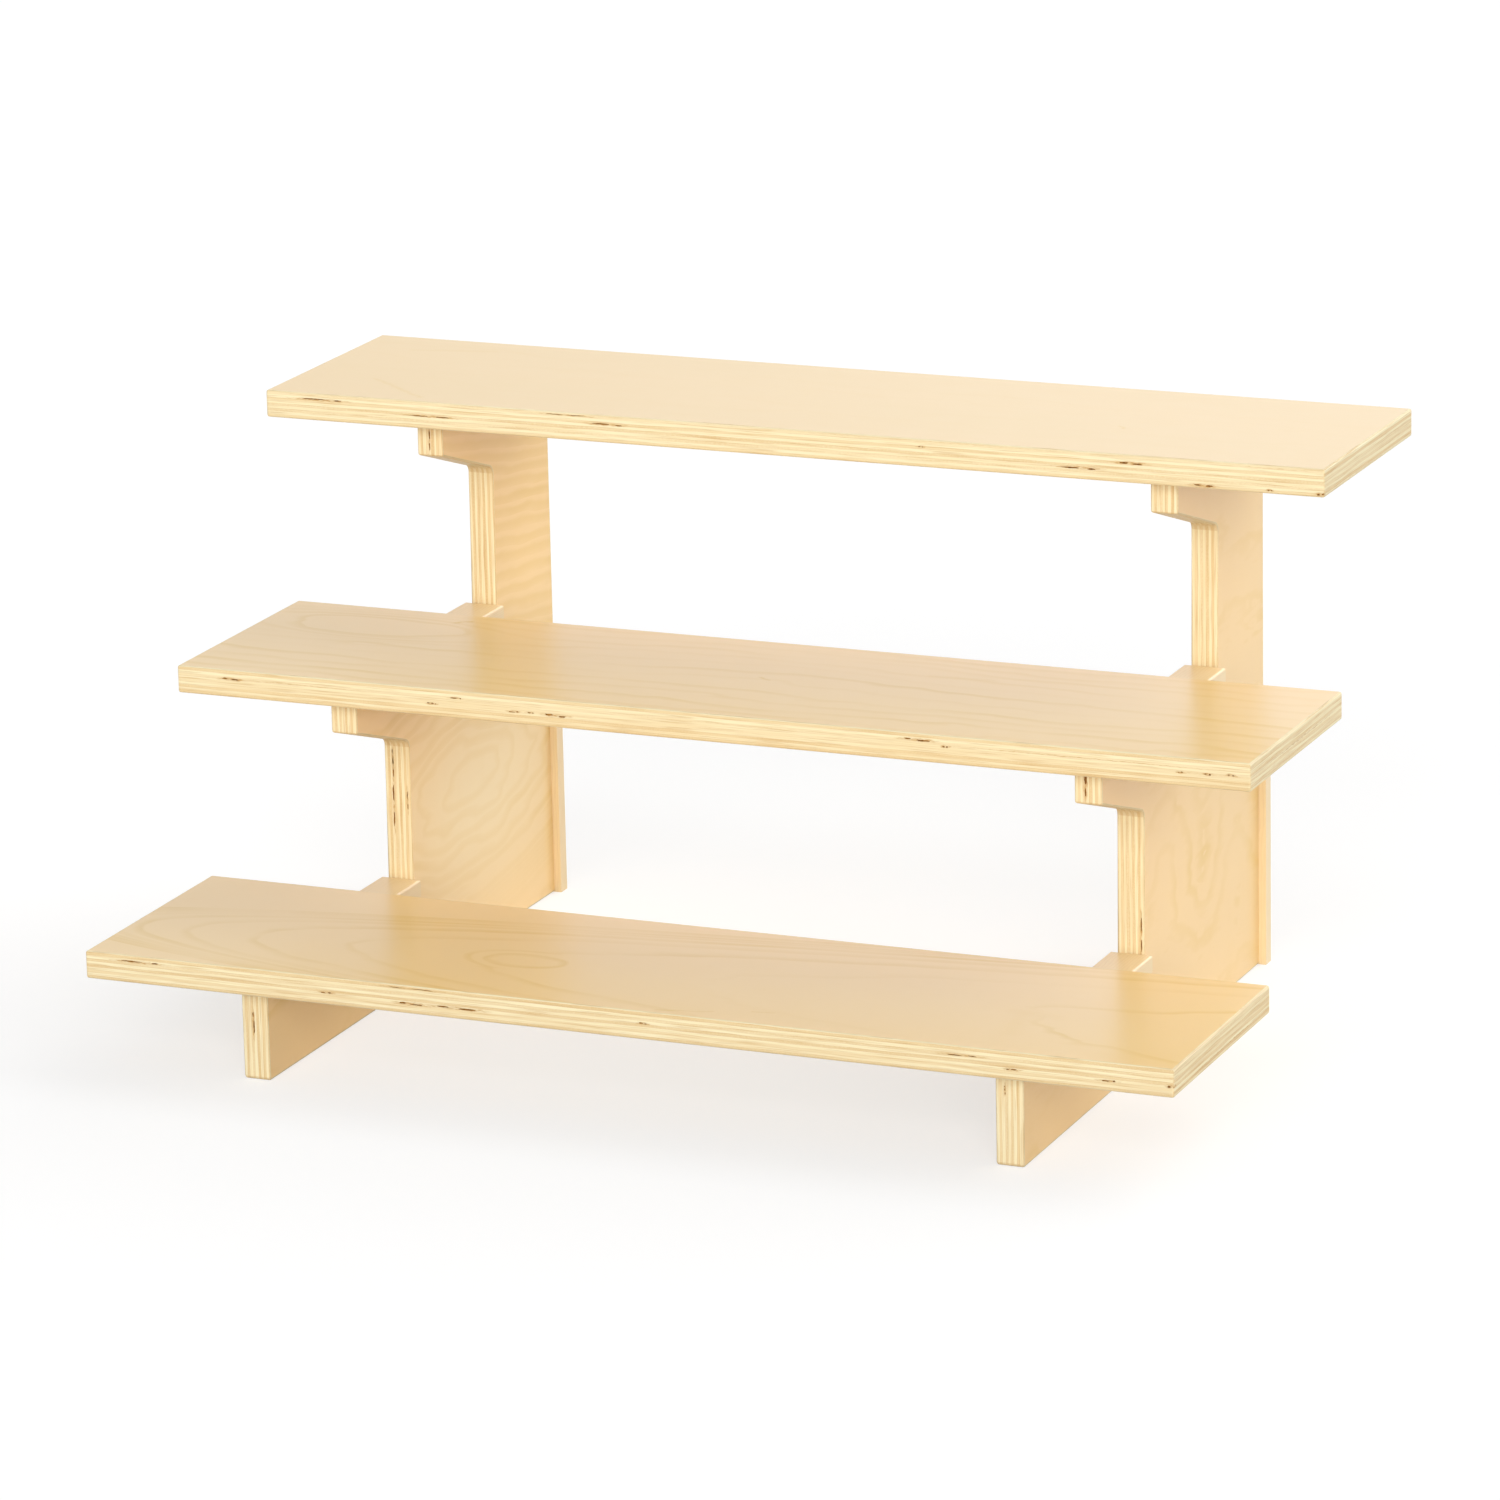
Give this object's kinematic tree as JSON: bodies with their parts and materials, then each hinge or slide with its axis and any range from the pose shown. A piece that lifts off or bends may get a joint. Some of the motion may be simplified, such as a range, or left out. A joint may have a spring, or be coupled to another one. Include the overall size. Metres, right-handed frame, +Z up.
{
  "type": "tiered display shelf",
  "caption": "Free-standing tiered display shelf: plywood boards drop over rails on stepped plywood supports and lift off again for flat packing.",
  "frame": {"origin": "on the floor, under the middle of the shelf's bounding box", "axes": "+X along the boards to the right, +Y to the back, +Z up"},
  "size_m": [0.725, 0.459, 0.378],
  "materials": {
    "plywood": "satin clear lacquer",
    "strip": "satin clear lacquer",
    "screw": "zinc plated"
  },
  "bodies": {
    "stand": {"left_support": "plywood", "left_bottom_rail": "strip", "left_bottom_rail_screws": "screw", "left_middle_rail": "strip", "left_middle_rail_screws": "screw", "left_top_rail": "strip", "left_top_rail_screws": "screw", "left_rear_cleat": "strip", "left_rear_cleat_screws": "screw", "right_support": "plywood", "right_bottom_rail": "strip", "right_bottom_rail_screws": "screw", "right_middle_rail": "strip", "right_middle_rail_screws": "screw", "right_top_rail": "strip", "right_top_rail_screws": "screw", "right_rear_cleat": "strip", "right_rear_cleat_screws": "screw"},
    "bottom_tier": {"bottom_board": "plywood"},
    "middle_tier": {"middle_board": "plywood"},
    "top_tier": {"top_board": "plywood"}
  },
  "joints": [
    {"name": "bottom_board_lift", "type": "slide", "parent": "stand", "child": "bottom_tier", "axis": [0, -0.7071, 0.7071], "range_m": [0, 0.25]},
    {"name": "middle_board_lift", "type": "slide", "parent": "stand", "child": "middle_tier", "axis": [0, -0.7071, 0.7071], "range_m": [0, 0.25]},
    {"name": "top_board_lift", "type": "slide", "parent": "stand", "child": "top_tier", "axis": [0, -0.7071, 0.7071], "range_m": [0, 0.25]}
  ]
}
